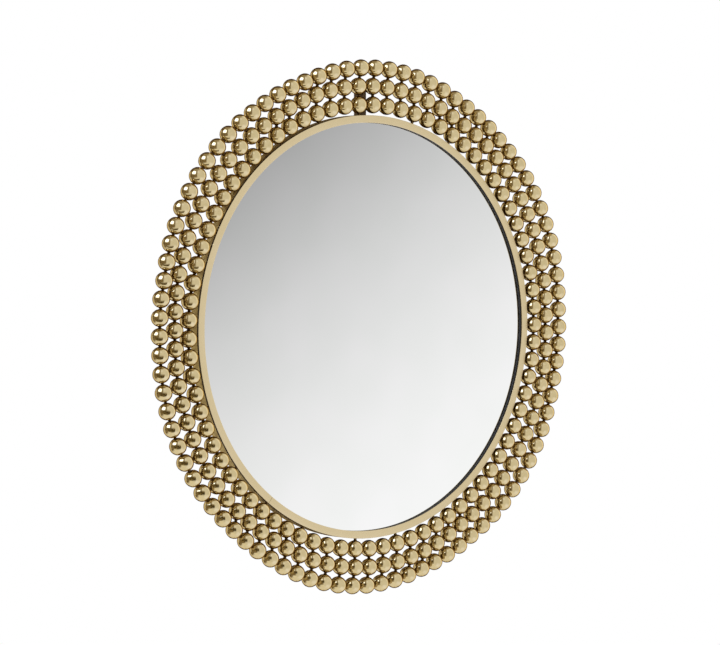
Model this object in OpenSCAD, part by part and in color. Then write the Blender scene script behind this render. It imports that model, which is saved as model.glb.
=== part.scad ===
// Round wall mirror in a narrow brass hoop, with three courses of solid balls welded around it.
// Millimetres. It hangs on a wall: the wall is the plane Y = 0, the glass faces -Y and +Z is up.
// The origin is where the axis of the hanging screw meets the wall.
// Each module draws its piece lying on its back on the wall plane, round the hoop's own axis.

/* [Hoop] */
// Clear width of the hoop's front opening
opening_d = 614; // [500:1:800]
// Width of the flat front face
face_w = 11.3; // [9:0.1:20]
// Thickness of the front flange
flange_t = 3; // [2:0.1:5]
// Thickness of the hoop's outer wall
wall_t = 4; // [3:0.1:6]
// Bevel on the two front edges
edge_bevel = 0.4; // [0.1:0.1:1]
// Distance from the wall to the hoop's rear edge, which is also the bumpers' height
wall_gap = 5.2; // [5:0.1:9]

/* [Glass and backing] */
// How far the flange laps over the glass
glass_lap = 5; // [3:0.1:6]
// Thickness of the rubber gasket under the flange
gasket_t = 2.5; // [1:0.1:4]
// How far the gasket stays back from the opening
gasket_back = 0.6; // [0.3:0.1:1.5]
// Thickness of the glass
glass_t = 5; // [3:0.1:8]
// Thickness of the card sheet behind the glass
card_t = 3; // [1:0.1:5]
// Thickness of the backing board, whose back is flush with the hoop's rear edge
board_t = 6; // [3:0.1:12]

/* [Balls] */
// Diameter of every ball
ball_d = 26; // [15:0.5:35]
// Gap between neighbours in one course, before the count is rounded
bead_gap = 1.3; // [1:0.1:5]
// Gap from a ball to the nearest ball of the course inside it
row_gap = 1.9; // [1.5:0.1:5]
// Gap between the hoop and the inner course
hoop_gap = 2.7; // [1.5:0.1:6]
// Ball centres lie this far behind the front face
ball_setback = 3.6; // [3:0.1:8]
// Angle of the first ball of the inner course
inner_turn = 4.0; // [0:0.1:5]
// Angle of the first ball of the middle course
middle_turn = 1.65; // [0:0.05:5]
// Angle of the first ball of the outer course
outer_turn = 2.8; // [0:0.1:5]

/* [Welds] */
// Diameter of the weld necks between balls
neck_d = 3.2; // [2:0.1:6]
// Number of necks that tie the inner course to the hoop
hoop_necks = 23; // [12:1:40]
// Ball of the inner course that takes the first of these necks
first_neck = 2; // [0:1:6]

/* [Hanger] */
// Width of the hanger plate
plate_w = 22; // [16:1:40]
// Thickness of the hanger plate
plate_t = 2.5; // [1.5:0.1:4]
// How far the plate reaches past the centres of the middle course
plate_past = 8; // [2:1:10]
// Radius of the plate's corners
plate_corner = 4; // [1:0.5:8]
// Diameter of the hole that the screw head goes in by
key_d = 12; // [9:0.5:14]
// Width of the slot that the screw hangs in
slot_w = 5.5; // [4.5:0.1:7]
// Distance from the middle of the hole to the top of the slot's run
slot_run = 11; // [8:0.5:16]
// Distance from the hoop to the middle of the hole
key_up = 10; // [8:0.5:14]
// Diameter of the post between the plate and a ball of the middle course
post_d = 6; // [4:0.5:9]
// Margin between the post and the plate's edge
post_margin = 0.5; // [0.2:0.1:1.5]

/* [Turn buttons] */
// Width of a turn button
button_w = 8; // [6:0.5:10]
// Thickness of a turn button
button_t = 1.5; // [1:0.1:2]
// Distance from a button's pivot to the middle of its tip
button_reach = 18; // [14:0.5:30]
// Diameter of the welded stud
stud_d = 3; // [2.5:0.1:3.5]
// Width of the nut across its flats
nut_w = 5.5; // [5:0.1:7]
// Thickness of the nut
nut_t = 2.2; // [1.5:0.1:2.4]
// Free play above and below a button
button_play = 0.1; // [0.05:0.05:0.2]
// Play between a stud and the hole round it
stud_play = 0.08; // [0.04:0.01:0.1]

/* [Wall bumpers] */
// Diameter of a bumper
bumper_d = 14; // [8:0.5:20]
// Rounding of a bumper's edge
bumper_round = 1.5; // [0.5:0.1:2]
// Distance from the hoop's opening in to a bumper's middle
bumper_in = 18; // [12:1:60]

/* [Hidden] */
$fn = 96;

// Clearance at a welded seat, so that two solids meet and do not cross
seat = 0.02;
// How far a stud stands out past its nut
stud_proud = 0.3;
// Finer steps for the large cylinder that trims the necks at the hoop
hoop_fn = 360;
// Finer steps for the spheres that hollow the ends of the short necks
hollow_fn = 168;
// Each turn button is a piece of its own, so their number is fixed
button_count = 6;
// Directions of the bumpers from the hoop's centre
bumper_angles = [45, 135, 225, 315];
// Extra length of a cutting tool past the face that it cuts
over = 1;

brass = "#cdbb8a";
weld_brown = "#6b5a35";
steel = "#55524c";
zinc = "#b9bab6";
rubber = "#1b1a19";

opening_r = opening_d / 2;
hoop_r = opening_r + face_w;
hoop_inner_r = hoop_r - wall_t;
glass_r = opening_r + glass_lap;
gasket_inner_r = opening_r + gasket_back;

// Heights above the wall plane, from the back to the front
rim_back_z = wall_gap;
board_z = rim_back_z;
card_z = board_z + board_t;
glass_z = card_z + card_t;
gasket_z = glass_z + glass_t;
flange_z = gasket_z + gasket_t;
front_z = flange_z + flange_t;
ball_z = front_z - ball_setback;

// The three courses: 0 is the inner one, 1 the middle one and 2 the outer one
ball_r = ball_d / 2;
bead_pitch = ball_d + bead_gap;
row_reach = ball_d + row_gap;
inner_course_r = hoop_r + hoop_gap + ball_r;
mean_row_step = row_reach - bead_pitch * bead_pitch / (24 * row_reach);
turns = [inner_turn, middle_turn, outer_turn];
function mean_r(row) = inner_course_r + row * mean_row_step;
function count(row) = round(2 * PI * mean_r(row) / bead_pitch);
function angle(row, k) = turns[row] + k * 360 / count(row);
function nearest(row, a) = round((a - turns[row]) * count(row) / 360);

// A ball of the next course stands row_reach from the nearest ball of the course inside it,
// so a course dips in where its balls nest between two others and swells where they line up.
function course_r(row, k) =
    row == 0 ? inner_course_r :
    let (
        a = angle(row, k),
        below = nearest(row - 1, a),
        r = course_r(row - 1, below),
        off = a - angle(row - 1, below)
    )
    r * cos(off) + sqrt(row_reach * row_reach - pow(r * sin(off), 2));
function centre(row, k) =
    let (r = course_r(row, k), a = angle(row, k))
    [r * cos(a), r * sin(a), ball_z];

// The hanger's post stands on the ball of the middle course that is nearest to twelve o'clock
post_ball = centre(1, nearest(1, 90));
post_limit = plate_w / 2 - post_d / 2 - post_margin;
post_x = max(-post_limit, min(post_limit, post_ball[0]));
plate_inner_y = hoop_inner_r;
plate_outer_y = mean_r(1) + plate_past;
key_y = hoop_r + key_up;
hang_y = key_y + slot_run;

stud_r = stud_d / 2;
hole_r = stud_r + stud_play;
pivot_r = hoop_r - wall_t / 2;
button_z = rim_back_z - button_play - button_t;
nut_z = button_z - button_play - nut_t;
stud_end_z = nut_z - stud_proud;
bumper_r = opening_r - bumper_in;
function button_angle(i) = i * 360 / button_count;

// Turns a piece drawn on its back upright, with the hanging point at the origin
module hung() {
    rotate([90, 0, 0]) translate([0, -hang_y, 0]) children();
}

module disc(r, z, h, fn = $fn) {
    translate([0, 0, z]) cylinder(r = r, h = h, $fn = fn);
}

// One rolled L section: a flat front flange and a wall behind its outer edge
module rim() {
    color(brass) hung() rotate_extrude() polygon([
        [opening_r, flange_z],
        [hoop_inner_r, flange_z],
        [hoop_inner_r, rim_back_z],
        [hoop_r, rim_back_z],
        [hoop_r, front_z - edge_bevel],
        [hoop_r - edge_bevel, front_z],
        [opening_r + edge_bevel, front_z],
        [opening_r, front_z - edge_bevel]
    ]);
}

module glass_gasket() {
    color(rubber) hung() difference() {
        disc(glass_r, gasket_z, gasket_t);
        disc(gasket_inner_r, gasket_z - over, gasket_t + 2 * over);
    }
}

module mirror_glass() {
    color("#d5d8da") hung() disc(glass_r, glass_z, glass_t);
}

// Corrugated card that keeps the board off the silvering
module card_sheet() {
    color("#b59a70") hung() disc(glass_r, card_z, card_t);
}

module backing_board() {
    color("#2b2622") hung() disc(glass_r, board_z, board_t);
}

module ball_course(row) {
    for (k = [0 : count(row) - 1]) translate(centre(row, k)) sphere(r = ball_r);
}

// Stands its children on the line from one point to another, along their own Z
module along(from, to) {
    way = to - from;
    tilt = acos(way[2] / norm(way));
    heading = atan2(way[1], way[0]);
    translate(from) rotate([0, tilt, heading]) children();
}

// A weld neck that fills the gap between the balls at two centres
module neck(from, to) {
    difference() {
        along(from, to) cylinder(d = neck_d, h = norm(to - from), $fn = 32);
        translate(from) sphere(r = ball_r + seat, $fn = hollow_fn);
        translate(to) sphere(r = ball_r + seat, $fn = hollow_fn);
    }
}

module welds_in_row(row) {
    for (k = [0 : count(row) - 1]) neck(centre(row, k), centre(row, k + 1));
}

module welds_to_row(row) {
    for (k = [0 : count(row) - 1]) {
        neck(centre(row - 1, nearest(row - 1, angle(row, k))), centre(row, k));
    }
}

// Necks from the hoop's wall out to evenly spread balls of the inner course
module hoop_neck(k) {
    ball = centre(0, k);
    root = [hoop_inner_r * cos(angle(0, k)), hoop_inner_r * sin(angle(0, k)), ball_z];
    difference() {
        along(root, ball) cylinder(d = neck_d, h = norm(ball - root), $fn = 32);
        disc(hoop_r + seat, rim_back_z, front_z - rim_back_z + over, hoop_fn);
        translate(ball) sphere(r = ball_r + seat);
    }
}

module rim_welds() {
    color(weld_brown) hung() for (i = [0 : hoop_necks - 1]) {
        hoop_neck(first_neck + round(i * count(0) / hoop_necks));
    }
}

// A strip with four round corners, welded to the hoop's rear edge at its lower end
module plate_outline() {
    low = plate_inner_y;
    high = plate_outer_y;
    side = plate_w / 2 - plate_corner;
    translate([-plate_w / 2, low + plate_corner]) square([plate_w, high - low - 2 * plate_corner]);
    translate([-side, low]) square([2 * side, high - low]);
    for (x = [-side, side], y = [low + plate_corner, high - plate_corner]) {
        translate([x, y]) circle(r = plate_corner);
    }
}

// The screw's head goes in by the round hole and its shank slides up the slot
module keyhole() {
    translate([0, key_y]) circle(d = key_d);
    translate([-slot_w / 2, key_y]) square([slot_w, slot_run]);
    translate([0, hang_y]) circle(d = slot_w);
}

module hanger_plate() {
    color(steel) hung() translate([0, 0, rim_back_z - plate_t]) linear_extrude(plate_t) difference() {
        plate_outline();
        keyhole();
    }
}

module hanger_post() {
    color(steel) hung() difference() {
        translate([post_x, post_ball[1], rim_back_z]) cylinder(d = post_d, h = ball_z - rim_back_z);
        translate(post_ball) sphere(r = ball_r + seat);
    }
}

// Draws its children at a turn button's pivot, with +Y pointing to the hoop's centre
module at_button(i) {
    rotate([0, 0, button_angle(i)]) translate([pivot_r, 0, 0]) rotate([0, 0, 90]) children();
}

module button_studs() {
    color(steel) hung() for (i = [0 : button_count - 1]) {
        at_button(i) translate([0, 0, stud_end_z]) cylinder(r = stud_r, h = rim_back_z - stud_end_z);
    }
}

module turn_button(i) {
    color(zinc) hung() at_button(i) translate([0, 0, button_z]) linear_extrude(button_t) difference() {
        union() {
            circle(d = button_w);
            translate([-button_w / 2, 0]) square([button_w, button_reach]);
            translate([0, button_reach]) circle(d = button_w);
        }
        circle(r = hole_r);
    }
}

module button_nuts() {
    color(zinc) hung() for (i = [0 : button_count - 1]) at_button(i) difference() {
        translate([0, 0, nut_z]) cylinder(d = nut_w / cos(30), h = nut_t, $fn = 6);
        translate([0, 0, nut_z - over]) cylinder(r = hole_r, h = nut_t + 2 * over);
    }
}

// Rubber feet on the board that rest on the wall
module wall_bumpers() {
    color(rubber) hung() for (a = bumper_angles) {
        rotate([0, 0, a]) translate([bumper_r, 0, 0]) rotate_extrude() difference() {
            square([bumper_d / 2, board_z]);
            translate([bumper_d / 2 - bumper_round, 0]) difference() {
                translate([0, -over]) square([bumper_round + over, bumper_round + over]);
                translate([0, bumper_round]) circle(r = bumper_round);
            }
        }
    }
}

rim();
glass_gasket();
mirror_glass();
card_sheet();
backing_board();
color(brass) hung() ball_course(0);  // inner_balls
color(brass) hung() ball_course(1);  // middle_balls
color(brass) hung() ball_course(2);  // outer_balls
color(weld_brown) hung() welds_in_row(0);  // inner_row_welds
color(weld_brown) hung() welds_in_row(1);  // middle_row_welds
color(weld_brown) hung() welds_in_row(2);  // outer_row_welds
rim_welds();
color(weld_brown) hung() welds_to_row(1);  // inner_to_middle_welds
color(weld_brown) hung() welds_to_row(2);  // middle_to_outer_welds
hanger_plate();
hanger_post();
button_studs();
turn_button(0);  // turn_button_1
turn_button(1);  // turn_button_2
turn_button(2);  // turn_button_3
turn_button(3);  // turn_button_4
turn_button(4);  // turn_button_5
turn_button(5);  // turn_button_6
button_nuts();
wall_bumpers();
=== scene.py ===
# %% [markdown]
# # A round wall mirror in a hoop of brass balls
#
# The object is a silvered glass disc in a narrow satin hoop. Three courses of polished
# brass balls are welded round the hoop, and a keyhole plate behind hangs it on a wall.
# The solid model comes first and stays where it is: this script only dresses it.

# %% Load the solid model
import math

import bmesh
import bpy
import numpy as np
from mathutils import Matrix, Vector


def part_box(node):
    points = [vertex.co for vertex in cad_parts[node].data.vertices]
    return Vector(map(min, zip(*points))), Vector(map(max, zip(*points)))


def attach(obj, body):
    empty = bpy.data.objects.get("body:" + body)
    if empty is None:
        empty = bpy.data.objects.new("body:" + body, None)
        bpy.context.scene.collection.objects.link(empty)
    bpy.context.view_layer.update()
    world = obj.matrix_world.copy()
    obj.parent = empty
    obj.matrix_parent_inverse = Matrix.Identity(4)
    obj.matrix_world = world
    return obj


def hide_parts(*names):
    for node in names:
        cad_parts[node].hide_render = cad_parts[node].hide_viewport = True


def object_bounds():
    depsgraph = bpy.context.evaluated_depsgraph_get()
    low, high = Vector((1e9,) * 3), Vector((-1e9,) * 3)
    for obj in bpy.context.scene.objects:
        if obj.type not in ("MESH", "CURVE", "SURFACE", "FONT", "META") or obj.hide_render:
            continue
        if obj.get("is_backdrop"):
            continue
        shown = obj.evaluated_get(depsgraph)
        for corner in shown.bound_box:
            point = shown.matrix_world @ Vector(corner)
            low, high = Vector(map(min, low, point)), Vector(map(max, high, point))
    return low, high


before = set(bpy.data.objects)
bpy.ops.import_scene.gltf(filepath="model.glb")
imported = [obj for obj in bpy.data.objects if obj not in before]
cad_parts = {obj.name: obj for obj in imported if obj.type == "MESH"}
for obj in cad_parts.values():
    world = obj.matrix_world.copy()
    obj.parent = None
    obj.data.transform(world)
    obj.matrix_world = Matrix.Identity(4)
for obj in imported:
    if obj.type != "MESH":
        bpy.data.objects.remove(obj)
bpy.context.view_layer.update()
scene = bpy.context.scene

# %% [markdown]
# The hoop's box gives everything a place. Its middle is the axis of the mirror, and its
# lowest Y is the plane of the flat front face. The wall is the plane Y = 0, and the glass
# looks along -Y.

# %% Measure the hoop
MM = 0.001
hoop_low, hoop_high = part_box("rim")
AXIS_X = (hoop_low.x + hoop_high.x) / 2
AXIS_Z = (hoop_low.z + hoop_high.z) / 2
HOOP_R = (hoop_high.x - hoop_low.x) / 2
FRONT_Y = hoop_low.y
REAR_Y = hoop_high.y
CENTRE = Vector((AXIS_X, FRONT_Y, AXIS_Z))
print(f"hoop radius {HOOP_R / MM:.1f} mm, front face at Y = {FRONT_Y / MM:.1f} mm")

# %% [markdown]
# ## The camera
#
# The picture is taken from the left and a little above, from nearly six metres with a long
# lens, so the circle becomes an upright ellipse with very little perspective.
# A small lens shift puts the mirror slightly right of the middle of the picture. Three unit
# vectors come out of this: towards the camera, to its right and up. They place the studio.

# %% Camera
IMAGE_W = 720
AZIMUTH, ELEVATION = math.radians(-39.0927), math.radians(2.1165)
CAMERA_DISTANCE = 5.782
SENSOR_MM = 36.0
FOCAL_PX = 3846
SHIFT_RIGHT_PX, SHIFT_DOWN_PX = 8.70, 4.63
FAR_CLIP = 50

TO_CAMERA = Vector((math.sin(AZIMUTH) * math.cos(ELEVATION),
                    -math.cos(AZIMUTH) * math.cos(ELEVATION),
                    math.sin(ELEVATION)))
CAMERA_RIGHT = TO_CAMERA.cross(Vector((0, 0, -1))).normalized()
CAMERA_UP = TO_CAMERA.cross(CAMERA_RIGHT)

camera_data = bpy.data.cameras.new("long_lens")
camera_data.sensor_width = SENSOR_MM
camera_data.lens = FOCAL_PX * SENSOR_MM / IMAGE_W
camera_data.shift_x = -SHIFT_RIGHT_PX / IMAGE_W
camera_data.shift_y = SHIFT_DOWN_PX / IMAGE_W
camera_data.clip_end = FAR_CLIP
camera = bpy.data.objects.new("camera", camera_data)
camera.location = CENTRE + TO_CAMERA * CAMERA_DISTANCE
camera.rotation_mode = "QUATERNION"
camera.rotation_quaternion = (-TO_CAMERA).to_track_quat("-Z", "Y")
scene.collection.objects.link(camera)
scene.camera = camera
scene.view_settings.view_transform = "Standard"
print(f"lens {camera_data.lens:.1f} mm at {CAMERA_DISTANCE} m; right is",
      [round(c, 3) for c in CAMERA_RIGHT], "and up is", [round(c, 3) for c in CAMERA_UP])

# %% [markdown]
# ## Helpers
#
# Colours are written as the sRGB hex values that a paint chart gives. Shaders work in
# linear light, so one function turns the one into the other. A second function adds any
# node with its settings and links, and a third starts an empty material.

# %% Material helpers
def linear(hex_colour):
    """Linear RGBA of an sRGB hex colour: each channel is divided by 12.92 near black, and
    otherwise raised by 0.055, divided by 1.055 and taken to the power 2.4."""
    srgb = np.array([int(hex_colour[i:i + 2], 16) for i in (1, 3, 5)]) / 255
    light = np.where(srgb <= 0.04045, srgb / 12.92, ((srgb + 0.055) / 1.055) ** 2.4)
    return (*(float(c) for c in light), 1.0)


def add(tree, kind, inputs=None, **settings):
    """Adds a node to a tree. Inputs are keyed by socket name or number, and each is a
    value or another node's output. Settings are the node's own properties."""
    made = tree.nodes.new("ShaderNode" + kind)
    for name, value in settings.items():
        setattr(made, name, value)
    for key, value in (inputs or {}).items():
        if isinstance(value, bpy.types.NodeSocket):
            tree.links.new(value, made.inputs[key])
        else:
            made.inputs[key].default_value = value
    return made


def new_material(name):
    """An empty node material, with its tree."""
    made = bpy.data.materials.new(name)
    made.use_nodes = True
    made.node_tree.nodes.clear()
    return made, made.node_tree


def two_tones(tree, factor, low, high, dark, light):
    """A colour that goes from dark to light as the factor goes from low to high."""
    ramp = add(tree, "ValToRGB", {"Fac": factor})
    for stop, position, colour in zip(ramp.color_ramp.elements, (low, high), (dark, light)):
        stop.position = position
        stop.color = linear(colour)
    return ramp.outputs["Color"]


# %% [markdown]
# Every new piece is a mesh worked out with numpy. The object stays at the origin, and the
# piece's place is in its points, as in the solid model.

# %% Mesh helper
SHARP_ANGLE = math.radians(35)


def new_piece(name, points, faces, body, material, replaced=(), sharp=SHARP_ANGLE):
    """A smooth mesh piece from an array of points and a list of faces. Edges that turn by
    more than the sharp angle stay crisp. It rides on a body and stands for the replaced
    nodes."""
    mesh = bpy.data.meshes.new(name)
    mesh.from_pydata(points.tolist(), [], faces)
    mesh.shade_smooth()
    mesh.set_sharp_from_angle(angle=sharp)
    mesh.materials.append(material)
    piece = bpy.data.objects.new(name, mesh)
    scene.collection.objects.link(piece)
    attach(piece, body)
    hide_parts(*replaced)
    return piece


# %% [markdown]
# ## Polished brass
#
# The balls are solid brass, tumbled and then polished before they are welded. A polished
# metal has no colour of its own: it shows the room, tinted yellow, and browner towards the
# ball's edge, where the lacquer over it is seen aslant. Three things keep it from looking
# too perfect. The polish is uneven, so its roughness and its tone wander, the wheel leaves
# ripples and hairlines, and here and there fingers have left a brown mark.

# %% Polished brass
PATCH_MM, RIPPLE_DEPTH_MM = 6.0, 0.10
# Real hairlines are 0.1 mm apart. The picture has 1.5 mm to a pixel, so they are drawn coarser.
HAIRLINE_MM, HAIRLINE_DEPTH_MM = 0.9, 0.004
MARK_MM = 5.0

polished_brass, tree = new_material("brass_polished")
place = add(tree, "TexCoord").outputs["Object"]
patches = add(tree, "TexNoise", {"Vector": place, "Scale": 1 / (PATCH_MM * MM),
                                 "Detail": 3.0, "Roughness": 0.6}).outputs["Fac"]
hairlines = add(tree, "TexNoise", {"Vector": place, "Scale": 1 / (HAIRLINE_MM * MM),
                                   "Detail": 2.0, "Distortion": 1.5}).outputs["Fac"]
ripples = add(tree, "Bump", {"Height": patches, "Distance": RIPPLE_DEPTH_MM * MM})
fine_bump = add(tree, "Bump", {"Height": hairlines, "Distance": HAIRLINE_DEPTH_MM * MM,
                               "Normal": ripples.outputs["Normal"]})
polish = add(tree, "MapRange", {"Value": patches, "From Min": 0.3, "From Max": 0.7,
                                "To Min": 0.04, "To Max": 0.08})
streaks = add(tree, "TexNoise", {"Vector": place, "Scale": 1 / (MARK_MM * MM), "Detail": 4.0,
                                 "Roughness": 0.75, "Distortion": 2.5}).outputs["Fac"]
marked = add(tree, "MapRange", {"Value": streaks, "From Min": 0.64, "From Max": 0.72})
clean = two_tones(tree, patches, 0.3, 0.7, "#B2A177", "#BAA981")
tarnished = add(tree, "MixRGB", {"Fac": marked.outputs["Result"], "Color1": clean,
                                 "Color2": linear("#7C6538")})
shader = add(tree, "BsdfPrincipled", {
    "Base Color": tarnished.outputs["Color"], "Specular Tint": linear("#C89A58"),
    "Metallic": 1.0, "Roughness": polish.outputs["Result"],
    "Normal": fine_bump.outputs["Normal"]})
add(tree, "OutputMaterial", {"Surface": shader.outputs["BSDF"]})
print(polished_brass.name, "with", len(tree.nodes), "nodes")

# %% [markdown]
# ## The balls
#
# There are 249 balls, so each one may have only a few faces. A ready-made sphere of rings and
# segments would do for one ball, but it is heavy, and its two poles pinch the reflections. A
# cube whose faces are each cut in four, with its points pushed out onto a sphere, has 24
# quads and no poles. Subdivision then rounds it. It also pulls points inwards by an amount
# that depends on where they sit, so the three kinds of point get radii of their own, worked
# out so that all of them come to rest on the sphere.

# %% Cage of one ball
def ball_cage():
    """Points and quads of a cube with each face cut in four, blown up to a ball of radius
    1. Subdivision settles a point at a weighted mean of itself, its neighbours along the
    edges and those across the quads. Three such means, for the points on a face, an edge
    and a corner of the cube, are set to 1 and solved for the radius of each kind."""
    means = np.array([[16 / 36, 16 / math.sqrt(2) / 36, 4 / math.sqrt(3) / 36],
                      [8 / math.sqrt(2) / 36, 18 / 36, 16 / math.sqrt(6) / 36],
                      [3 / math.sqrt(3) / 24, 24 / math.sqrt(6) / 24, 9 / 24]])
    radius = np.concatenate([[0], np.linalg.solve(means, np.ones(3))])
    grid = np.stack(np.meshgrid(*[[-1, 0, 1]] * 3, indexing="ij"), -1).reshape(-1, 3)
    spots = grid[np.abs(grid).sum(1) > 0]
    number = {tuple(spot): i for i, spot in enumerate(spots.tolist())}
    u, v = np.meshgrid([-1, 0], [-1, 0])
    ring_u = np.stack([u, u + 1, u + 1, u], -1).reshape(-1, 4)
    ring_v = np.stack([v, v, v + 1, v + 1], -1).reshape(-1, 4)
    quads = []
    for axis in range(3):
        for side in (-1, 1):
            corners = np.roll(np.stack([np.full_like(ring_u, side), ring_u, ring_v], -1),
                              axis, axis=-1)[:, ::side]
            quads += [[number[tuple(c)] for c in quad] for quad in corners.tolist()]
    unit = spots / np.linalg.norm(spots, axis=1)[:, None]
    return unit * radius[np.abs(spots).sum(1)][:, None], np.array(quads)


CAGE, CAGE_QUADS = ball_cage()
print("ball cage:", len(CAGE), "points,", len(CAGE_QUADS), "quads, radii",
      sorted({round(float(r), 3) for r in np.linalg.norm(CAGE, axis=1)}))

# %% [markdown]
# The solid model says where each ball stands. Seen along the mirror's axis, the points of
# one course fall into clumps, one for each ball, with an empty sliver of angle between
# them, a fifth of a degree wide. The middle of a clump's box is the ball's centre.

# %% Find the balls in the solid model
GAP_ANGLE = math.radians(0.13)


def clumps(node):
    """Lowest and highest corner of each separate part of a node: its points are sorted by
    their angle round the mirror's axis, and cut where the angle jumps."""
    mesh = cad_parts[node].data
    points = np.empty(len(mesh.vertices) * 3, np.float32)
    mesh.vertices.foreach_get("co", points)
    points = points.reshape(-1, 3).astype(float)
    angle = np.arctan2(points[:, 2] - AXIS_Z, points[:, 0] - AXIS_X)
    order = np.argsort(angle)
    jump = np.diff(angle[order], append=angle[order][0] + 2 * math.pi)
    order = np.roll(order, -(int(np.argmax(jump)) + 1))
    turned = np.unwrap(angle[order])
    starts = np.concatenate([[0], np.flatnonzero(np.diff(turned) > GAP_ANGLE) + 1])
    return (np.minimum.reduceat(points[order], starts),
            np.maximum.reduceat(points[order], starts))


COURSES = ("inner", "middle", "outer")
BALLS = {}
for course in COURSES:
    low, high = clumps(course + "_balls")
    BALLS[course] = (low + high) / 2
    BALL_R = float(np.median(high[:, 1] - low[:, 1]) / 2)
    print(course, len(low), "balls of radius", round(BALL_R / MM, 2), "mm")

# %% [markdown]
# Every ball gets the same cage, turned its own way, as it would lie after welding. The
# turns come from seeded random numbers, so they are the same on every run. Tumbling leaves
# a ball very slightly dented, and a mirror-bright ball shows it: straight edges in the room
# bend. A Displace modifier with a cloud pattern presses such dents in, and never out.

# %% Build the three courses
BALL_LEVELS = 2
POLISHED_OFF = 0.03 * MM
DENT_MM = 8.0
DENT_DEPTH_MM = 0.09

dents = bpy.data.textures.new("tumbled", "CLOUDS")
dents.noise_scale = DENT_MM * MM
dents.noise_depth = 0


def ball_course(course, seed):
    """All balls of a course in one piece. Each is the cage times the ball's radius, less
    what polishing takes off, turned by the matrix of a random unit quaternion, plus the
    ball's centre."""
    centres = BALLS[course]
    q = np.random.default_rng(seed).normal(size=(len(centres), 4))
    w, x, y, z = (q / np.linalg.norm(q, axis=1)[:, None]).T
    turn = np.array([[1 - 2 * (y * y + z * z), 2 * (x * y - w * z), 2 * (x * z + w * y)],
                     [2 * (x * y + w * z), 1 - 2 * (x * x + z * z), 2 * (y * z - w * x)],
                     [2 * (x * z - w * y), 2 * (y * z + w * x), 1 - 2 * (x * x + y * y)]])
    points = np.einsum("ijn,pj->npi", turn, CAGE * (BALL_R - POLISHED_OFF)) + centres[:, None, :]
    quads = CAGE_QUADS[None] + np.arange(len(centres))[:, None, None] * len(CAGE)
    piece = new_piece(f"{course}_course_of_balls", points.reshape(-1, 3),
                      quads.reshape(-1, 4).tolist(), "mirror",
                      polished_brass, [course + "_balls"], sharp=math.pi)
    rounding = piece.modifiers.new("round", "SUBSURF")
    rounding.levels = rounding.render_levels = BALL_LEVELS
    denting = piece.modifiers.new("dent", "DISPLACE")
    denting.texture = dents
    denting.strength = DENT_DEPTH_MM * MM
    denting.mid_level = 1.0
    return piece


for seed, course in enumerate(COURSES):
    piece = ball_course(course, seed)
    print(piece.name, len(piece.data.polygons), "cage quads")

# %% [markdown]
# ## Weld beads
#
# Each ball is held by short necks of weld metal: one to each neighbour in its course, one
# to a ball of the course inside it, and from some balls of the inner course one to the
# hoop. Weld metal is drawn out where it bridges a gap and spreads where it wets the balls,
# so the neck is a small waisted tube. It is rough brown metal with heat scale, painted
# darker still as the shade between the balls, and it breaks the row of bright balls.

# %% Metal with heat scale and painted shade
def heat_scale_and_shade(name, dark, light, mark_mm, depth_mm):
    """Metal that a torch has heated, in brown marks mark_mm across, rough where they are
    thick. Its darker browns also stand for painted shade."""
    made, tree = new_material(name)
    place = add(tree, "TexCoord").outputs["Object"]
    marks = add(tree, "TexNoise", {"Vector": place, "Scale": 1 / (mark_mm * MM),
                                   "Detail": 4.0, "Roughness": 0.6}).outputs["Fac"]
    ripples = add(tree, "Bump", {"Height": marks, "Distance": depth_mm * MM})
    roughness = add(tree, "MapRange", {"Value": marks, "To Min": 0.3, "To Max": 0.6})
    shader = add(tree, "BsdfPrincipled", {
        "Base Color": two_tones(tree, marks, 0.3, 0.7, dark, light), "Metallic": 1.0,
        "Roughness": roughness.outputs["Result"], "Normal": ripples.outputs["Normal"]})
    add(tree, "OutputMaterial", {"Surface": shader.outputs["BSDF"]})
    return made


# The dark brown is heat scale, darkened further as painted shade between the balls.
weld_bronze_and_shade = heat_scale_and_shade("bronze_welded_and_shaded", "#3A2A18", "#6E5532", 1.2, 0.15)
print(weld_bronze_and_shade.name, "with", len(weld_bronze_and_shade.node_tree.nodes), "nodes")

# %% [markdown]
# A thick curve could draw one neck, but it would have the same width all along. A neck needs
# only a start and an end, so all necks of a row are worked out at once: each gets two
# directions square to its own, and a ring of points at five stations along it. Its ends are
# sunk a little way into the balls, so that no gap shows.

# %% Waisted necks
THROAT_R = 2.1 * MM
FOOT_R = 3.1 * MM
SUNK = 0.42 * MM
NECK_SIDES = 12
STATIONS = np.array([0, 0.2, 0.5, 0.8, 1])


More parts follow.
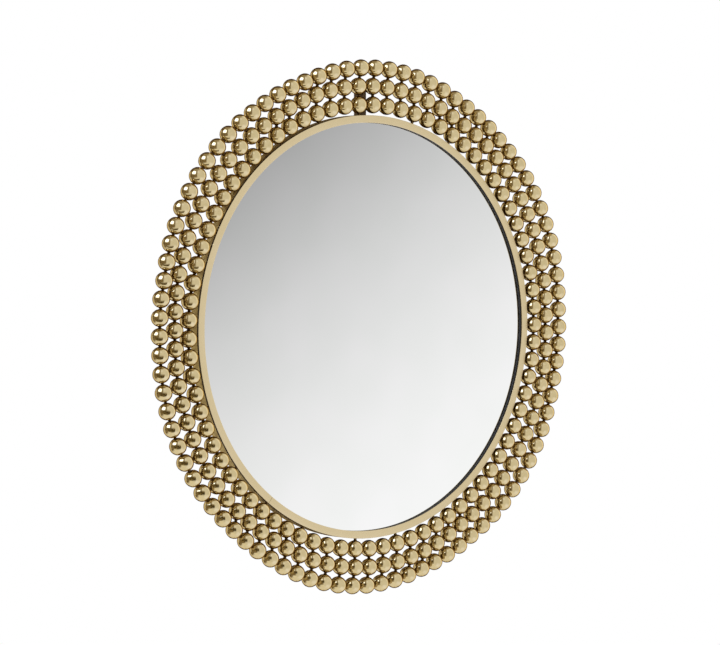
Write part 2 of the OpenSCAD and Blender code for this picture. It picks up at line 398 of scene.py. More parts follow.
def necks(name, node, starts, ends):
    """Waisted tubes from starts to ends. Along a neck, t runs from 0 to 1 and the radius is
    the throat's plus (foot - throat) times (2t - 1) squared."""
    way = ends - starts
    length = np.linalg.norm(way, axis=1)[:, None]
    along = way / length
    beside = np.cross(along, [0, 1, 0])
    beside /= np.linalg.norm(beside, axis=1)[:, None]
    across = np.cross(along, beside)
    turn = np.arange(NECK_SIDES) * 2 * math.pi / NECK_SIDES
    radius = THROAT_R + (FOOT_R - THROAT_R) * (2 * STATIONS - 1) ** 2
    spine = starts[:, None, :] + way[:, None, :] * STATIONS[None, :, None]
    ring = (beside[:, None, :] * np.cos(turn)[None, :, None]
            + across[:, None, :] * np.sin(turn)[None, :, None])
    points = spine[:, :, None, :] + ring[:, None, :, :] * radius[None, :, None, None]
    i, j = np.meshgrid(np.arange(len(STATIONS) - 1), np.arange(NECK_SIDES), indexing="ij")
    k = (j + 1) % NECK_SIDES
    quads = np.stack([i * NECK_SIDES + j, (i + 1) * NECK_SIDES + j,
                      (i + 1) * NECK_SIDES + k, i * NECK_SIDES + k], -1).reshape(-1, 4)
    stride = len(STATIONS) * NECK_SIDES
    quads = (quads[None] + np.arange(len(starts))[:, None, None] * stride).reshape(-1, 4)
    side = np.arange(NECK_SIDES)
    caps = np.stack([side, stride - 1 - side])
    caps = (caps[None] + np.arange(len(starts))[:, None, None] * stride).reshape(-1, NECK_SIDES)
    return new_piece(name, points.reshape(-1, 3), quads.tolist() + caps.tolist(),
                     "mirror", weld_bronze_and_shade, [node])


def between(a, b):
    """Both ends of a neck between balls at a and b: each centre moved towards the other by
    the ball's radius less the depth that the neck is sunk."""
    step = (b - a) / np.linalg.norm(b - a, axis=1)[:, None] * (BALL_R - SUNK)
    return a + step, b - step


def nearest(points, others):
    """For each point, the closest of the others."""
    apart = np.linalg.norm(points[:, None, :] - others[None, :, :], axis=2)
    return others[np.argmin(apart, axis=1)]


# %% Join balls to balls, and the inner course to the hoop
for course in COURSES:
    row = BALLS[course]
    made = necks(f"{course}_course_beads", f"{course}_row_welds",
                 *between(row, np.roll(row, -1, axis=0)))
    print(made.name, len(made.data.polygons), "faces")
for inside, outside in (("inner", "middle"), ("middle", "outer")):
    made = necks(f"{inside}_{outside}_beads", f"{inside}_to_{outside}_welds",
                 *between(nearest(BALLS[outside], BALLS[inside]), BALLS[outside]))
    print(made.name, len(made.data.polygons), "faces")

low, high = clumps("rim_welds")
held = nearest((low + high) / 2, BALLS["inner"])
axis_point = np.array([AXIS_X, held[0, 1], AXIS_Z])
outwards = (held - axis_point) / np.linalg.norm(held - axis_point, axis=1)[:, None]
made = necks("hoop_beads", "rim_welds", axis_point + outwards * (HOOP_R - SUNK),
             held - outwards * (BALL_R - SUNK))
print(made.name, len(held), "necks")

# %% [markdown]
# ## The hoop
#
# The hoop is one rolled L section: a flat flange in front, and a wall behind its outer
# edge. Its face is sanded round and round to a satin that spreads every reflection into one
# even tone. The surface keeps a map in metres, along the hoop and across its profile, so that
# the sanding marks run along the hoop wherever it goes. The map starts at the butt weld that
# closes the hoop at the lower left, and a fine dull line marks it there.

# %% Satin-sanded brass
# Real sanding marks are 0.1 mm apart, too fine for the picture, so they are drawn coarser.
GRAIN_ACROSS_MM, GRAIN_ALONG_MM, GRAIN_DEPTH_MM = 0.8, 60.0, 0.012
CLOUD_MM = 45.0
SEAM_FULL_MM, SEAM_FADED_MM = 0.18, 0.54

satin_brass, tree = new_material("brass_satin_sanded")
flat_map = add(tree, "UVMap", uv_map="along_and_across").outputs["UV"]
place = add(tree, "TexCoord").outputs["Object"]
stretch = add(tree, "Mapping", {"Vector": flat_map, "Scale": (1 / (GRAIN_ALONG_MM * MM),
                                                              1 / (GRAIN_ACROSS_MM * MM), 1)})
grain = add(tree, "TexNoise", {"Vector": stretch.outputs["Vector"], "Scale": 1.0,
                               "Detail": 3.0, "Roughness": 0.65}).outputs["Fac"]
clouds = add(tree, "TexNoise", {"Vector": place, "Scale": 1 / (CLOUD_MM * MM), "Detail": 2.0})
tone = add(tree, "Math", {0: grain, 1: clouds.outputs["Fac"]}, operation="ADD")
half = add(tree, "Math", {0: tone.outputs[0], 1: 0.5}, operation="MULTIPLY").outputs[0]
start = add(tree, "SeparateXYZ", {0: flat_map}).outputs["X"]
end = add(tree, "Math", {0: 2 * math.pi * HOOP_R, 1: start}, operation="SUBTRACT").outputs[0]
to_seam = add(tree, "Math", {0: start, 1: end}, operation="MINIMUM").outputs[0]
seam = add(tree, "MapRange", {"Value": to_seam, "From Min": SEAM_FADED_MM * MM,
                              "From Max": SEAM_FULL_MM * MM}).outputs["Result"]
sanded = two_tones(tree, half, 0.35, 0.65, "#BDAB83", "#C2B18C")
welded = add(tree, "MixRGB", {"Fac": seam, "Color1": sanded, "Color2": linear("#85764F")})
grain_bump = add(tree, "Bump", {"Height": grain, "Distance": GRAIN_DEPTH_MM * MM})
roughness = add(tree, "MapRange", {"Value": half, "From Min": 0.35, "From Max": 0.65,
                                   "To Min": 0.34, "To Max": 0.44})
shader = add(tree, "BsdfPrincipled", {
    "Base Color": welded.outputs["Color"],
    "Metallic": 1.0, "Roughness": roughness.outputs["Result"],
    "Normal": grain_bump.outputs["Normal"]})
add(tree, "OutputMaterial", {"Surface": shader.outputs["BSDF"]})
print(satin_brass.name, "with", len(tree.nodes), "nodes")

# %% [markdown]
# The hoop's outer wall is not sanded after welding, so it keeps the brown tint of the torch,
# and its strong light and dark mottle is also a painted reflection of the balls and painted
# shade near them. The strip beside the front face is painted nearly black as a shadow line
# along the face's outer edge. Both come from the function that made the weld beads' metal,
# in other browns.
#
# The inner lip is brushed dead matt black: painted dark reflection and painted shade, which
# also keeps the glass from showing a second bright edge. Its gloss is turned almost off, and
# the brush leaves fine furrows along the lip.

# %% Heat tint, painted mottle, painted shadow line and painted dark reflection
# Torch tint, with a strong mottle that is partly painted reflection of the balls and painted
# shade.
tinted_brass_painted_mottle = heat_scale_and_shade("brass_heat_tinted_painted_mottle", "#6F5828", "#BFA668", 6.0, 0.03)
# Painted shade: a nearly black strip for the shadow line along the face's outer edge.
shadow_line_brass = heat_scale_and_shade("brass_painted_shadow_line", "#1E140A", "#3D2B16", 3.0, 0.03)

BRISTLE_MM, FURROW_DEPTH_MM = 0.7, 0.02

# Painted dark reflection and shade: the lip is black where a brass lip would show the dark room.
lip_paint_dark_reflection, tree = new_material("paint_black_dark_reflection")
stretch = add(tree, "Mapping", {
    "Vector": add(tree, "UVMap", uv_map="along_and_across").outputs["UV"],
    "Scale": (1 / (GRAIN_ALONG_MM * MM), 1 / (BRISTLE_MM * MM), 1)})
bristles = add(tree, "TexNoise", {"Vector": stretch.outputs["Vector"], "Scale": 1.0,
                                  "Detail": 3.0}).outputs["Fac"]
furrows = add(tree, "Bump", {"Height": bristles, "Distance": FURROW_DEPTH_MM * MM})
roughness = add(tree, "MapRange", {"Value": bristles, "To Min": 0.35, "To Max": 0.55})
shader = add(tree, "BsdfPrincipled", {
    "Base Color": two_tones(tree, bristles, 0.3, 0.7, "#120D07", "#1F180E"),
    "Specular IOR Level": 0.03,
    "Roughness": roughness.outputs["Result"], "Normal": furrows.outputs["Normal"]})
add(tree, "OutputMaterial", {"Surface": shader.outputs["BSDF"]})
print("finishes beside the satin:", tinted_brass_painted_mottle.name, shadow_line_brass.name, lip_paint_dark_reflection.name)

# %% [markdown]
# A torus or a thick curve can't have an L section with a lip of its own finish. But a rolled
# hoop is the same everywhere along its length, so its shape is one closed outline, carried
# round the mirror's axis. The corners that a hand would touch are eased, and an eased corner
# catches a thin line of light that a razor edge would not.

# %% Carry an outline round the axis
def carried_round(profile, steps, start):
    """Points, quads and map of a closed profile carried round the mirror's axis. A profile
    point (radius, y) at angle a lies at (AXIS_X + radius cos a, y, AXIS_Z + radius sin a).
    The map's two values are the way along the greatest circle and across the profile, in
    metres, and its seam is at the start angle."""
    count = len(profile)
    angle = start + np.arange(steps) * 2 * math.pi / steps
    radius, y = profile[None, :, 0], profile[None, :, 1]
    points = np.stack([AXIS_X + radius * np.cos(angle)[:, None],
                       np.broadcast_to(y, (steps, count)),
                       AXIS_Z + radius * np.sin(angle)[:, None]], -1)
    j, i = np.meshgrid(np.arange(steps), np.arange(count), indexing="ij")
    j_next, i_next = (j + 1) % steps, (i + 1) % count
    quads = np.stack([j * count + i, j * count + i_next,
                      j_next * count + i_next, j_next * count + i], -1).reshape(-1, 4)
    segments = np.linalg.norm(np.roll(profile, -1, axis=0) - profile, axis=1)
    across = np.concatenate([[0], np.cumsum(segments)])
    along = np.arange(steps + 1) * 2 * math.pi / steps * profile[:, 0].max()
    flat = np.stack([np.stack([along[j], along[j], along[j + 1], along[j + 1]], -1),
                     np.stack([across[i], across[i + 1], across[i + 1], across[i]], -1)], -1)
    return points.reshape(-1, 3), quads, flat.reshape(-1, 2)


# %% Hoop
FACE_W = 11.3 * MM
FLANGE_T = 3.0 * MM
WALL_T = 4.0 * MM
EASED = 0.4 * MM
BARE_LIP = 0.9 * MM
# Width of the painted shadow line beside the front face.
PAINTED_SHADOW_STRIP = 3.6 * MM
SEAM_ANGLE = math.radians(233.4)
HOOP_STEPS = 480
OPENING_R = HOOP_R - FACE_W


def eased_corner(radius, y, inwards, steps=4):
    """A quarter circle of radius EASED in the front corner at (radius, y), on the side where
    the metal is. It runs from the wall to the face, or the other way when inwards is -1."""
    t = np.linspace(0, math.pi / 2, steps)[::inwards]
    return np.stack([radius - inwards * EASED * (1 - np.cos(t)),
                     y + EASED * (1 - np.sin(t))], -1)


profile = np.concatenate([
    [[HOOP_R, REAR_Y], [HOOP_R, FRONT_Y + PAINTED_SHADOW_STRIP]],
    eased_corner(HOOP_R, FRONT_Y, 1),
    eased_corner(OPENING_R, FRONT_Y, -1),
    [[OPENING_R, FRONT_Y + BARE_LIP], [OPENING_R, FRONT_Y + FLANGE_T],
     [HOOP_R - WALL_T, FRONT_Y + FLANGE_T], [HOOP_R - WALL_T, REAR_Y]]])
points, quads, flat = carried_round(profile, HOOP_STEPS, SEAM_ANGLE)
hoop = new_piece("satin_hoop", points, quads.tolist(), "mirror",
                 satin_brass, ["rim"])
hoop.data.uv_layers.new(name="along_and_across").data.foreach_set("uv", flat.ravel())

# A band is the strip from one point of the profile to the next. The other bands stay satin.
# The outer wall carries a partly painted mottle, the band beside the face a painted shadow line,
# and the lip painted dark reflection and shade.
OUTER_WALL, SHADOW_LINE_BAND, LIP = 0, 1, 10
number_of_band = np.zeros(len(profile), np.int32)
for band, finish in ((OUTER_WALL, tinted_brass_painted_mottle), (SHADOW_LINE_BAND, shadow_line_brass),
                     (LIP, lip_paint_dark_reflection)):
    number_of_band[band] = len(hoop.data.materials)
    hoop.data.materials.append(finish)
hoop.data.polygons.foreach_set("material_index", np.tile(number_of_band, HOOP_STEPS))
print("hoop:", len(hoop.data.polygons), "quads,", len(hoop.data.materials), "finishes")

# %% [markdown]
# ## Glass, gasket, card and board
#
# These keep the shapes of the solid model and get a finish each. The glass is a silvered disc
# of 5 mm float glass. From the front only its silver counts: a mirror with the faintest green
# cast and the slow waves that float glass keeps from the furnace. It is perfectly sharp.

# %% Silvered float glass
WAVE_MM, WAVE_DEPTH_MM = 90.0, 0.02

silvered_glass, tree = new_material("float_glass_silvered")
place = add(tree, "TexCoord").outputs["Object"]
waves = add(tree, "TexNoise", {"Vector": place, "Scale": 1 / (WAVE_MM * MM),
                               "Detail": 1.0}).outputs["Fac"]
wave_bump = add(tree, "Bump", {"Height": waves, "Distance": WAVE_DEPTH_MM * MM})
shader = add(tree, "BsdfPrincipled", {
    "Base Color": two_tones(tree, waves, 0.3, 0.7, "#F1F2F1", "#F4F4F4"),
    "Metallic": 1.0, "Roughness": 0.0, "Normal": wave_bump.outputs["Normal"]})
add(tree, "OutputMaterial", {"Surface": shader.outputs["BSDF"]})
print(silvered_glass.name, "with", len(tree.nodes), "nodes")

# %% [markdown]
# The gasket round the glass and the four bumpers at the back are moulded black rubber. It
# takes no polish, and wax that blooms to its surface greys it in small cloudy patches.

# %% Rubber
BLOOM_MM, PORE_DEPTH_MM = 2.5, 0.05

rubber, tree = new_material("rubber_moulded")
place = add(tree, "TexCoord").outputs["Object"]
bloom = add(tree, "TexNoise", {"Vector": place, "Scale": 1 / (BLOOM_MM * MM),
                               "Detail": 5.0}).outputs["Fac"]
pores = add(tree, "Bump", {"Height": bloom, "Distance": PORE_DEPTH_MM * MM})
roughness = add(tree, "MapRange", {"Value": bloom, "To Min": 0.6, "To Max": 0.85})
shader = add(tree, "BsdfPrincipled", {
    "Base Color": two_tones(tree, bloom, 0.3, 0.7, "#1B1A19", "#2A2927"),
    "Roughness": roughness.outputs["Result"], "Normal": pores.outputs["Normal"]})
add(tree, "OutputMaterial", {"Surface": shader.outputs["BSDF"]})
print(rubber.name, "with", len(tree.nodes), "nodes")

# %% [markdown]
# The backing board is dark hardboard, wood fibre pressed hot against a wire screen, and the
# sheet before it is kraft card. One function makes both, because both are matted fibres that
# differ in colour and in scale.

# %% Fibreboard and card
STAIN_MM, DIMPLE_SHARE, PRESSED_DEPTH_MM = 70.0, 0.35, 0.15


def pressed_fibres(name, dark, light, fibre_mm, screen_mm):
    """Pressed wood or paper fibres with the shallow dimples that the press's wire screen
    leaves, screen_mm apart, and broad stains where the pulp was uneven. The dimples are the
    sine of the way across times the sine of the way up. The tone is the mean of the dimpled
    fibres and the stains."""
    made, tree = new_material(name)
    place = add(tree, "TexCoord").outputs["Object"]
    fibres = add(tree, "TexNoise", {"Vector": place, "Scale": 1 / (fibre_mm * MM),
                                    "Detail": 6.0, "Roughness": 0.7, "Distortion": 2.0})
    around = add(tree, "VectorMath", {0: place, 1: (math.pi / (screen_mm * MM),) * 3},
                 operation="MULTIPLY")
    split = add(tree, "SeparateXYZ", {0: around.outputs["Vector"]})
    wires = [add(tree, "Math", {0: split.outputs[axis]}, operation="SINE").outputs[0]
             for axis in ("X", "Z")]
    dimples = add(tree, "Math", {0: wires[0], 1: wires[1]}, operation="MULTIPLY")
    depth = add(tree, "Math", {0: dimples.outputs[0], 1: DIMPLE_SHARE,
                               2: fibres.outputs["Fac"]}, operation="MULTIPLY_ADD").outputs[0]
    bump = add(tree, "Bump", {"Height": depth, "Distance": PRESSED_DEPTH_MM * MM})
    stains = add(tree, "TexNoise", {"Vector": place, "Scale": 1 / (STAIN_MM * MM),
                                    "Detail": 4.0, "Roughness": 0.6}).outputs["Fac"]
    both = add(tree, "Math", {0: depth, 1: stains}, operation="ADD").outputs[0]
    tone = add(tree, "Math", {0: both, 1: 0.5}, operation="MULTIPLY").outputs[0]
    roughness = add(tree, "MapRange", {"Value": stains, "From Min": 0.3, "From Max": 0.7,
                                       "To Min": 0.6, "To Max": 0.85})
    shader = add(tree, "BsdfPrincipled", {
        "Base Color": two_tones(tree, tone, 0.36, 0.64, dark, light),
        "Roughness": roughness.outputs["Result"], "Normal": bump.outputs["Normal"]})
    add(tree, "OutputMaterial", {"Surface": shader.outputs["BSDF"]})
    return made


fibreboard = pressed_fibres("hardboard_dark", "#2C241D", "#4A3D31", 1.5, 1.6)
brown_card = pressed_fibres("kraft_card", "#8F7550", "#B79B72", 2.5, 4.0)
print("pressed fibres:", fibreboard.name, "and", brown_card.name)

# %% [markdown]
# ## Steel at the back
#
# The hanger plate and its post are blackened steel with the brown cast of an oil bath, so
# that they hide behind the balls. The turn buttons, studs and nuts are zinc plated. Both
# are metals under a thin skin that wears through in fine scratches, and its crystals give a
# soft glitter that breaks up the reflections.

# %% Steel finishes
WEAR_DEPTH_MM = 0.02
WEAR_PER_GRAIN = 6


def plated_steel(name, dark, light, grain_mm, smooth, rough, metallic=1.0):
    """Steel under a thin plated or blackened skin. Its shade is the distance from the middle
    of a crystal, times a wider pattern of wear, and sets tone and roughness. The crystals are
    grain_mm across. Real ones are far finer: these are as coarse as the picture needs."""
    made, tree = new_material(name)
    place = add(tree, "TexCoord").outputs["Object"]
    crystals = add(tree, "TexVoronoi", {"Vector": place, "Scale": 1 / (grain_mm * MM)})
    worn = add(tree, "TexNoise", {"Vector": place, "Detail": 4.0, "Distortion": 1.0,
                                  "Scale": 1 / (WEAR_PER_GRAIN * grain_mm * MM)})
    shade = add(tree, "Math", {0: crystals.outputs["Distance"], 1: worn.outputs["Fac"]},
                operation="MULTIPLY").outputs[0]
    bump = add(tree, "Bump", {"Height": worn.outputs["Fac"], "Distance": WEAR_DEPTH_MM * MM})
    roughness = add(tree, "MapRange", {"Value": shade, "From Max": 0.5, "To Min": smooth,
                                       "To Max": rough})
    shader = add(tree, "BsdfPrincipled", {
        "Base Color": two_tones(tree, shade, 0.1, 0.5, dark, light), "Metallic": metallic,
        "Roughness": roughness.outputs["Result"], "Normal": bump.outputs["Normal"]})
    add(tree, "OutputMaterial", {"Surface": shader.outputs["BSDF"]})
    return made


zinc_plate = plated_steel("steel_zinc_plated", "#A9ABAA", "#C9CAC8", 0.8, 0.28, 0.45)
black_steel = plated_steel("steel_blackened", "#5C4930", "#7A6345", 1.0, 0.35, 0.6, 0.5)
print("steel:", zinc_plate.name, "and", black_steel.name)

# %% [markdown]
# Stamped and turned steel never has razor edges: tumbling eases them, and the eased edge is
# where the light catches. The solid model's own mesh is loose triangles, which a bevel can't
# follow. So the small parts are made again from its points, with their flat faces joined up
# and their edges bevelled, and their shapes stay true to it.

# %% Ease the edges of the small steel parts
# Corners of triangles that agree to the thousandth of a millimetre are one point.
SAME_POINT_DIGITS = 6
FLAT_ANGLE = math.radians(1)
EDGE_ANGLE = math.radians(40)


def eased(node, body, material, width_mm):
    """A piece with the shape of a node and bevelled edges. The node's triangles are welded
    at their corners, flat neighbours are joined, and edges that turn by more than the edge
    angle get a bevel."""
    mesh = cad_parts[node].data
    points = np.empty(len(mesh.vertices) * 3, np.float32)
    mesh.vertices.foreach_get("co", points)
    corners = np.empty(len(mesh.loops), np.int32)
    mesh.loops.foreach_get("vertex_index", corners)
    merged, number = np.unique(points.reshape(-1, 3).astype(float).round(SAME_POINT_DIGITS),
                               axis=0, return_inverse=True)
    triangles = number.ravel()[corners].reshape(-1, 3)
    following = np.roll(triangles, -1, axis=1)
    triangles = triangles[(triangles != following).all(axis=1)]
    piece = new_piece(f"{node}_eased", merged, triangles.tolist(), body, material, [node])
    work = bmesh.new()
    work.from_mesh(piece.data)
    bmesh.ops.dissolve_limit(work, angle_limit=FLAT_ANGLE, verts=work.verts, edges=work.edges)
    work.to_mesh(piece.data)
    work.free()
    bevel = piece.modifiers.new("ease", "BEVEL")
    bevel.width = width_mm * MM
    bevel.segments = 2
    bevel.limit_method = "ANGLE"
    bevel.angle_limit = EDGE_ANGLE
    bevel.use_clamp_overlap = False
    return piece


STEEL_PARTS = {
    # node: body, slot, finish, eased width
    "hanger_plate": ("mirror", "blackened_steel", black_steel, 0.4),
    "button_studs": ("mirror", "zinc_steel", zinc_plate, 0.25),
    "button_nuts": ("mirror", "zinc_steel", zinc_plate, 0.3),
    **{f"turn_button_{i}": (f"turn_button_{i}", "zinc_steel", zinc_plate, 0.25)
       for i in range(1, 7)}}
for node, (body, slot, finish, width_mm) in STEEL_PARTS.items():
    made = eased(node, body, finish, width_mm)
    print(made.name, len(made.data.polygons), "faces before the bevel")

# %% [markdown]
# The other nodes already have the right shape, so they stay, and only their material slot is
# filled anew.

# %% Dress the nodes that stay
FINISHES = {
    "mirror_glass": silvered_glass, "glass_gasket": rubber, "wall_bumpers": rubber,
    "card_sheet": brown_card, "backing_board": fibreboard, "hanger_post": black_steel}
for node, finish in FINISHES.items():
    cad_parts[node].material_slots[0].material = finish
print("dressed", len(FINISHES), "nodes")

# %% [markdown]
# ## Studio
#
# Lamps alone would leave bright spots on black metal, because polished balls are pictures of
# the room they stand in. So the room is painted on the world, and gives the light too: white
# walls to the right, a paler floor, a brownish ceiling, and a soft box high on the left that
# puts the white window in every ball. What no panel covers is a brown mottle. The room
# straight behind the mirror is darkest. That puts the thin dark line round every ball,
# because a ball's edge shows what lies behind it.
#
# Directions are given as seen from the mirror: azimuth 0 is towards the camera and grows to
# the camera's right. A panel's mask is one smooth step in azimuth times one in elevation, and
# a later panel covers an earlier one. To the camera itself the background is plain white.

# %% Room painted on the world
MOTTLES_PER_RADIAN = 5.0
PANELS = {
    # name: azimuth, elevation, half width, half height, soft edge (degrees), light
    "ceiling": (0, 90, 180, 32, 24, (0.60, 0.52, 0.38)),
    "right_wall": (72, -9, 77, 81, 20, (1.25, 1.27, 1.31)),
    "far_wall": (128, 0, 20, 60, 20, (1.75, 1.80, 1.95)),
    "left_wall": (-136, -12, 24, 38, 14, (1.35, 1.35, 1.32)),
    "floor": (0, -90, 180, 48, 28, (1.42, 1.44, 1.50)),
    "near_floor": (-26, -46, 30, 22, 14, (1.40, 1.40, 1.36)),
    "bright_floor": (85, -40, 46, 18, 30, (1.56, 1.64, 1.96)),
    "haze": (-18, 46, 14, 28, 18, (0.46, 0.40, 0.30)),
    "fill": (18, 48, 13, 10, 18, (1.45, 1.54, 1.83)),
    "behind": (180, 12, 37, 62, 12, (0.14, 0.10, 0.06)),
    "soft_box_glow": (-50, 36, 25, 18, 14, (1.80, 1.88, 2.05)),
    "soft_box": (-55, 37, 24, 15, 18, (5.4, 6.2, 8.4)),
}

world = bpy.data.worlds.new("studio")
scene.world = world
world.use_nodes = True
tree = world.node_tree
tree.nodes.clear()
outlook = add(tree, "TexCoord").outputs["Generated"]


def along_axis(tree, way, axis):
    """How far a way goes along an axis: the dot product of the two."""
    product = add(tree, "VectorMath", {0: way, 1: tuple(axis)}, operation="DOT_PRODUCT")
    return product.outputs["Value"]


across, upwards, nearer = (along_axis(tree, outlook, axis)
                           for axis in (CAMERA_RIGHT, CAMERA_UP, TO_CAMERA))
azimuth = add(tree, "Math", {0: across, 1: nearer}, operation="ARCTAN2").outputs[0]
elevation = add(tree, "Math", {0: upwards}, operation="ARCSINE").outputs[0]


def within(angle, middle, extent, soft):
    """1 where an angle is well within extent of middle and 0 well beyond, with a smooth step
    soft degrees wide between them. Angles are wrapped, so that 180 and -180 meet."""
    off = add(tree, "Math", {0: angle, 1: math.radians(middle)}, operation="SUBTRACT")
    off = add(tree, "Math", {0: off.outputs[0], 1: -math.pi, 2: math.pi}, operation="WRAP")
    off = add(tree, "Math", {0: off.outputs[0]}, operation="ABSOLUTE")
    return add(tree, "MapRange", {"Value": off.outputs[0],
                                  "From Min": math.radians(extent + soft / 2),
                                  "From Max": math.radians(extent - soft / 2)},
               interpolation_type="SMOOTHSTEP").outputs["Result"]


mottle = add(tree, "TexNoise", {"Vector": outlook, "Scale": MOTTLES_PER_RADIAN, "Detail": 4.0,
                                "Roughness": 0.6, "Distortion": 1.0}).outputs["Fac"]
room = two_tones(tree, mottle, 0.42, 0.58, "#4A3A28", "#C2AE88")
for name, (at_azimuth, at_elevation, half_w, half_h, soft, light) in PANELS.items():
    mask = add(tree, "Math", {0: within(azimuth, at_azimuth, half_w, soft),
                              1: within(elevation, at_elevation, half_h, soft)},
               operation="MULTIPLY").outputs[0]
    room = add(tree, "MixRGB", {"Fac": mask, "Color1": room, "Color2": (*light, 1)})
    room = room.outputs["Color"]
seen = add(tree, "LightPath").outputs["Is Camera Ray"]
backdrop = add(tree, "MixRGB", {"Fac": seen, "Color1": room, "Color2": (1, 1, 1, 1)})
lit = add(tree, "Background", {"Color": backdrop.outputs["Color"]})
add(tree, "OutputWorld", {"Surface": lit.outputs["Background"]})
print("room painted with", len(PANELS), "panels")

# %% [markdown]
# A painted room is infinitely far away, so all balls see it in the same direction. Things
# near by look different from the two sides of the mirror. Two cards with soft edges give
# that: a dark mottled flag half a metre away, low on the left, and a white reflector beside
# the mirror. Only satin and polished metal see them. The glass is perfectly sharp, and sharp
# reflections pass them by, so it stays clear.

# %% Cards that reflections see
def from_centre(right, up, nearer):
    """The point so many metres right of, above and nearer than the middle of the mirror's
    face, as the camera sees it."""
    return CENTRE + CAMERA_RIGHT * right + CAMERA_UP * up + TO_CAMERA * nearer


def card(name, middle, right, up, half_w, half_h, soft, shown_to_sharp, paint):
    """A glowing card round middle, spanned by the axes right and up, that fades out over the
    last soft metres to its edges. It shows in perfectly sharp reflections or in all others.
    Paint adds the nodes of its colour."""
    made, tree = new_material(name)
    place = add(tree, "TexCoord").outputs["Object"]
    offset = add(tree, "VectorMath", {0: place, 1: tuple(middle)},
                 operation="SUBTRACT").outputs["Vector"]
    shown = add(tree, "LightPath").outputs["Is Singular Ray"]
    if not shown_to_sharp:
        shown = add(tree, "Math", {0: 1.0, 1: shown}, operation="SUBTRACT").outputs[0]
    for axis, half in ((right, half_w), (up, half_h)):
        off = add(tree, "Math", {0: along_axis(tree, offset, axis)},
                  operation="ABSOLUTE").outputs[0]
        inside = add(tree, "MapRange", {"Value": off, "From Min": half, "From Max": half - soft},
                     interpolation_type="SMOOTHSTEP").outputs["Result"]
        shown = add(tree, "Math", {0: shown, 1: inside}, operation="MULTIPLY").outputs[0]
    glow = add(tree, "Emission", {"Color": paint(tree, offset)})
    mixed = add(tree, "MixShader", {0: shown, 1: add(tree, "BsdfTransparent").outputs[0],
                                    2: glow.outputs["Emission"]})
    add(tree, "OutputMaterial", {"Surface": mixed.outputs[0]})
    corners = [middle + right * half_w * i + up * half_h * j
               for i, j in ((-1, -1), (1, -1), (1, 1), (-1, 1))]
    mesh = bpy.data.meshes.new(name)
    mesh.from_pydata([tuple(c) for c in corners], [], [(0, 1, 2, 3)])
    mesh.materials.append(made)
    stood = bpy.data.objects.new(name, mesh)
    stood.visible_camera = stood.visible_diffuse = stood.visible_shadow = False
    scene.collection.objects.link(stood)
    stood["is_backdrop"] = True


# %% A dark flag and a white reflector
LUMP_MM = 200.0
REFLECTOR_LIGHT = (1.1, 1.08, 1.0, 1)


def mottled(tree, offset):
    """Dark lumps LUMP_MM across with paler patches between them."""
    lumps = add(tree, "TexNoise", {"Vector": offset, "Scale": 1 / (LUMP_MM * MM), "Detail": 5.0,
                                   "Roughness": 0.72, "Distortion": 1.5}).outputs["Fac"]
    return two_tones(tree, lumps, 0.45, 0.64, "#2E2517", "#D6C08A")


card("dark_flag", from_centre(right=-0.37, up=-0.22, nearer=0.5), CAMERA_RIGHT, CAMERA_UP,
     half_w=0.45, half_h=0.23, soft=0.16, shown_to_sharp=False, paint=mottled)
card("reflector", from_centre(right=-0.95, up=-0.2, nearer=-0.1), TO_CAMERA, CAMERA_UP,
     half_w=0.3, half_h=0.35, soft=0.15, shown_to_sharp=False,
     paint=lambda tree, offset: REFLECTOR_LIGHT)
print("the metal sees a dark flag and a reflector")

# %% [markdown]
# The glass shows the part of the studio that lies to the camera's right: a paper sweep that
# runs from grey at the top left to white at the bottom right. This card is seen by the
# perfectly sharp glass only, so it tones the glass and leaves the satin and the balls alone.
# The glass turns the camera's line of sight back, which reverses the Y part of a vector. So
# the card stands out along the mirrored line of sight, with its right and up mirrored too.

# %% Paper sweep seen in the glass
SWEEP_AWAY = 2.0
SWEEP_HALF = 0.75
SWEEP_SOFT = 0.25
FALL_RIGHT, FALL_DOWN = 0.6, 0.8
# Metres down the fall line, and the grey there.
TONES = ((-0.40, 0.42), (-0.27, 0.56), (-0.13, 0.72), (0.05, 0.87), (0.20, 0.97), (0.38, 1.04))


def sweep_tone(tree, offset):
    """A grey that follows the tones along the fall line, to the right and down."""
    way = along_axis(tree, offset, sweep_right * FALL_RIGHT - sweep_up * FALL_DOWN)
    low, high = TONES[0][0], TONES[-1][0]
    along = add(tree, "MapRange", {"Value": way, "From Min": low, "From Max": high})
    ramp = add(tree, "ValToRGB", {"Fac": along.outputs["Result"]})
    stops = ramp.color_ramp.elements
    while len(stops) < len(TONES):
        stops.new(0.5)
    for stop, (at, grey) in zip(stops, TONES):
        stop.position = (at - low) / (high - low)
        stop.color = (grey, grey, grey, 1)
    return ramp.outputs["Color"]


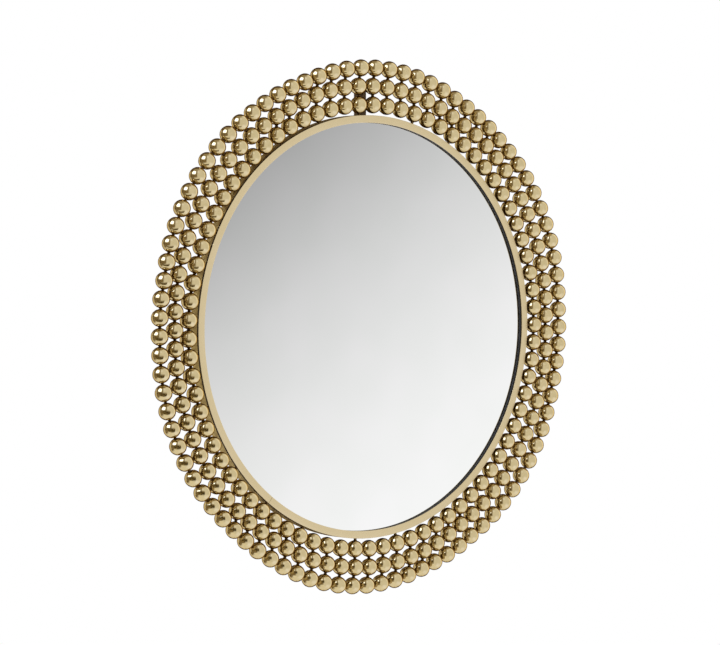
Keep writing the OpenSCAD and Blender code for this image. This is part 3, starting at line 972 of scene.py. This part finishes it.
mirrored_view = Vector((-TO_CAMERA.x, TO_CAMERA.y, -TO_CAMERA.z))
sweep_right = Vector((CAMERA_RIGHT.x, -CAMERA_RIGHT.y, CAMERA_RIGHT.z))
sweep_up = Vector((CAMERA_UP.x, -CAMERA_UP.y, CAMERA_UP.z))
card("paper_sweep", CENTRE + mirrored_view * SWEEP_AWAY, sweep_right, sweep_up,
     half_w=SWEEP_HALF, half_h=SWEEP_HALF, soft=SWEEP_SOFT, shown_to_sharp=True,
     paint=sweep_tone)
print("paper sweep", SWEEP_AWAY, "m from the glass, with", len(TONES), "tones")

# %% [markdown]
# The floor is a wide pale disc. It lies mostly in front of the mirror, so that it fills the
# views from behind and from above, and it ends just before it would enter the main view.

# %% Floor
# The mirror hangs with its screw at Z = 0, and its middle a third of a metre below that.
FLOOR_Z = -1.24
FLOOR_R = 12.0
FLOOR_BACK = 2.8
FLOOR_SIDES = 180
PLASTER_MOTTLE_M = 0.12

floor_plaster, tree = new_material("floor_pale_plaster")
place = add(tree, "TexCoord").outputs["Object"]
trowelled = add(tree, "TexNoise", {"Vector": place, "Scale": 1 / PLASTER_MOTTLE_M,
                                   "Detail": 5.0}).outputs["Fac"]
shader = add(tree, "BsdfPrincipled", {
    "Base Color": two_tones(tree, trowelled, 0.3, 0.7, "#F0EFED", "#F6F5F3"),
    "Roughness": 0.8})
add(tree, "OutputMaterial", {"Surface": shader.outputs["BSDF"]})
towards = Vector((TO_CAMERA.x, TO_CAMERA.y, 0)).normalized() * (FLOOR_R - FLOOR_BACK)
turn = np.arange(FLOOR_SIDES) * 2 * math.pi / FLOOR_SIDES
points = np.stack([towards.x + FLOOR_R * np.cos(turn), towards.y + FLOOR_R * np.sin(turn),
                   np.full(FLOOR_SIDES, FLOOR_Z)], -1)
floor_mesh = bpy.data.meshes.new("floor")
floor_mesh.from_pydata(points.tolist(), [], [list(range(FLOOR_SIDES))])
floor_mesh.materials.append(floor_plaster)
floor = bpy.data.objects.new("floor", floor_mesh)
floor.visible_glossy = False
scene.collection.objects.link(floor)
floor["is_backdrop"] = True
print("floor", FLOOR_R, "m in radius at Z =", FLOOR_Z)

# %% [markdown]
# ## Finish
#
# The box round the dressed model is measured, leaving out the floor and the cards. The
# dressed model has to stay inside the solid one.

# %% Measure the dressed model
low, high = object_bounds()
